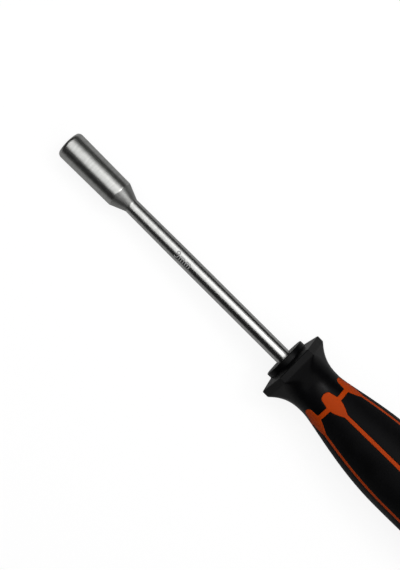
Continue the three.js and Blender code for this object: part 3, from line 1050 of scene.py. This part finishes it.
floor_slope = 0.043
floor_touch_x = 113.9
floor_touch_z = -14.0
floor_half_size = 4000
floor_roughness = 0.9
floor_colour = (0.35, 0.35, 0.35, 1)
seen_floor_colour = (0.14, 0.14, 0.14, 1)
floor_glow = 0.88
mirrored_share = 0.14

low_sky = 0.05
high_sky = 0.4
low_glow = 0.05
high_glow = 0.015
fill_glow = 0.15
seen_glow = 0.9
lamp_height = 600

camera_tilt = math.radians(2.4)
camera_roll = math.radians(3.7)
collar_ahead = 430.0
collar_right = 45.2
collar_up = 3.21
focal_length = 66.3
sensor_width = 36
nearest_seen = 10
farthest_seen = 20000
picture_turn = math.radians(44.89)

along = np.array([-1.0, 0.0, 0.0])
near_side = np.array([0.0, math.sin(camera_roll), math.cos(camera_roll)])
towards_handle = math.cos(camera_tilt) * along - math.sin(camera_tilt) * near_side
across_tool = np.array([0.0, -math.cos(camera_roll), math.sin(camera_roll)])
ahead = -math.sin(camera_tilt) * along - math.cos(camera_tilt) * near_side
camera_place = np.array([handle_length, 0, 0]) - (
    collar_right * towards_handle + collar_up * across_tool + collar_ahead * ahead
)
right = math.cos(picture_turn) * towards_handle + math.sin(picture_turn) * across_tool
upward = math.cos(picture_turn) * across_tool - math.sin(picture_turn) * towards_handle


def placed(side, top, back, place):
    """A matrix that turns an object's own x, y and z to three directions and moves it to a place."""
    turn = np.eye(4)
    turn[:3] = np.stack([side, top, back, place * millimetre], axis=-1)
    return Matrix(turn.tolist())


camera_data = bpy.data.cameras.new("camera")
camera_data.sensor_fit = "AUTO"
camera_data.sensor_width = sensor_width
camera_data.lens = focal_length
camera_data.clip_start = nearest_seen * millimetre
camera_data.clip_end = farthest_seen * millimetre
camera = bpy.data.objects.new("camera", camera_data)
bpy.context.scene.collection.objects.link(camera)
camera.matrix_world = placed(right, upward, -ahead, camera_place)
bpy.context.scene.camera = camera


def bench():
    """A flat floor under the guard and the belly: z = touch z + slope (x - touch x)."""
    edges = [-floor_half_size, floor_half_size]
    x, y = np.meshgrid(edges, edges)
    z = floor_touch_z + floor_slope * (x - floor_touch_x)
    places = np.stack([x, y, z], axis=-1).reshape(-1, 3) * millimetre
    mesh = bpy.data.meshes.new("bench")
    mesh.from_pydata(places.tolist(), [], [(0, 1, 3, 2)])
    made = bpy.data.objects.new("bench", mesh)
    bpy.context.scene.collection.objects.link(made)
    return made


def bench_material():
    """A white floor: it glows for the camera and a little for glossy rays, and it is darker for the
    camera than for the light that it throws back, so that its shadows stay soft."""
    made, tree, shader = new_material("bench_white")
    shader.inputs["Roughness"].default_value = floor_roughness
    shader.inputs["Specular IOR Level"].default_value = 0
    shader.inputs["Emission Color"].default_value = white
    path = wired(tree, "ShaderNodeLightPath", {}).outputs
    tint = wired(tree, "ShaderNodeMix", {"data_type": "RGBA"})
    tint.inputs[mix_first].default_value = floor_colour
    tint.inputs[mix_second].default_value = seen_floor_colour
    tree.links.new(path["Is Camera Ray"], tint.inputs[mix_share])
    tree.links.new(tint.outputs[mix_colour], shader.inputs["Base Color"])
    seen = scaled_and_added(tree, path["Is Glossy Ray"], mirrored_share, path["Is Camera Ray"])
    seen = larger(tree, seen, path["Is Transmission Ray"])
    tree.links.new(scaled_and_added(tree, seen, floor_glow, 0.0), shader.inputs["Emission Strength"])
    return made


bench().data.materials.append(bench_material())


def softbox(name, middle, size, radiance, lean=0, first=right, second=upward):
    """A rectangular lamp over the tool. Its middle and its size go along a first and a second
    direction, which are to the right and up in the picture unless others are given. With a lean of 1
    it faces the tool, and with 0 it is level. Its power is pi times its area times its radiance."""
    width, depth = np.array(size) * millimetre
    data = bpy.data.lights.new(name, "AREA")
    data.shape = "RECTANGLE"
    data.size = width
    data.size_y = depth
    data.energy = math.pi * width * depth * radiance
    lamp = bpy.data.objects.new(name, data)
    bpy.context.scene.collection.objects.link(lamp)
    offset = middle[0] * first + middle[1] * second
    place = under_camera + offset - lamp_height * ahead
    facing = -ahead + lean * offset / lamp_height
    facing = facing / np.linalg.norm(facing)
    side = first - facing * (first @ facing)
    side = side / np.linalg.norm(side)
    lamp.matrix_world = placed(side, np.cross(facing, side), facing, place)
    lamp.visible_camera = False


under_camera = camera_place + collar_ahead * ahead
along_tool = {"lean": 1, "first": towards_handle, "second": across_tool}
softbox("key_left", middle=(-170, 147), size=(420, 515), radiance=1.75)
softbox("key_right", middle=(230, 147), size=(380, 515), radiance=2.5)
softbox("key_top", middle=(170, 540), size=(1100, 270), radiance=0.85)
softbox("handle_side", middle=(570, 50), size=(283, 1100), radiance=1.1, **along_tool)
softbox("waist_spot", middle=(185, 384), size=(110, 170), radiance=13.0, **along_tool)


def studio_sky():
    """A dim room for the object, a little brighter near the horizon and for diffuse light, and a
    white one for the camera."""
    world = bpy.data.worlds.new("studio")
    bpy.context.scene.world = world
    world.use_nodes = True
    tree = world.node_tree
    sky = tree.nodes["Background"]
    sky.inputs["Color"].default_value = white
    spot = wired(tree, "ShaderNodeTexCoord", {})
    axes = wired(tree, "ShaderNodeSeparateXYZ", {}, Vector=spot.outputs["Generated"])
    settings = {"From Min": low_sky, "From Max": high_sky, "To Min": low_glow, "To Max": high_glow}
    room = wired(tree, "ShaderNodeMapRange", settings, Value=axes.outputs["Z"]).outputs["Result"]
    path = wired(tree, "ShaderNodeLightPath", {}).outputs
    room = scaled_and_added(tree, path["Is Diffuse Ray"], fill_glow, room)
    seen = larger(tree, path["Is Camera Ray"], path["Is Transmission Ray"])
    tree.links.new(scaled_and_added(tree, seen, seen_glow, room), sky.inputs["Strength"])


studio_sky()

bpy.context.scene.view_settings.view_transform = "Standard"
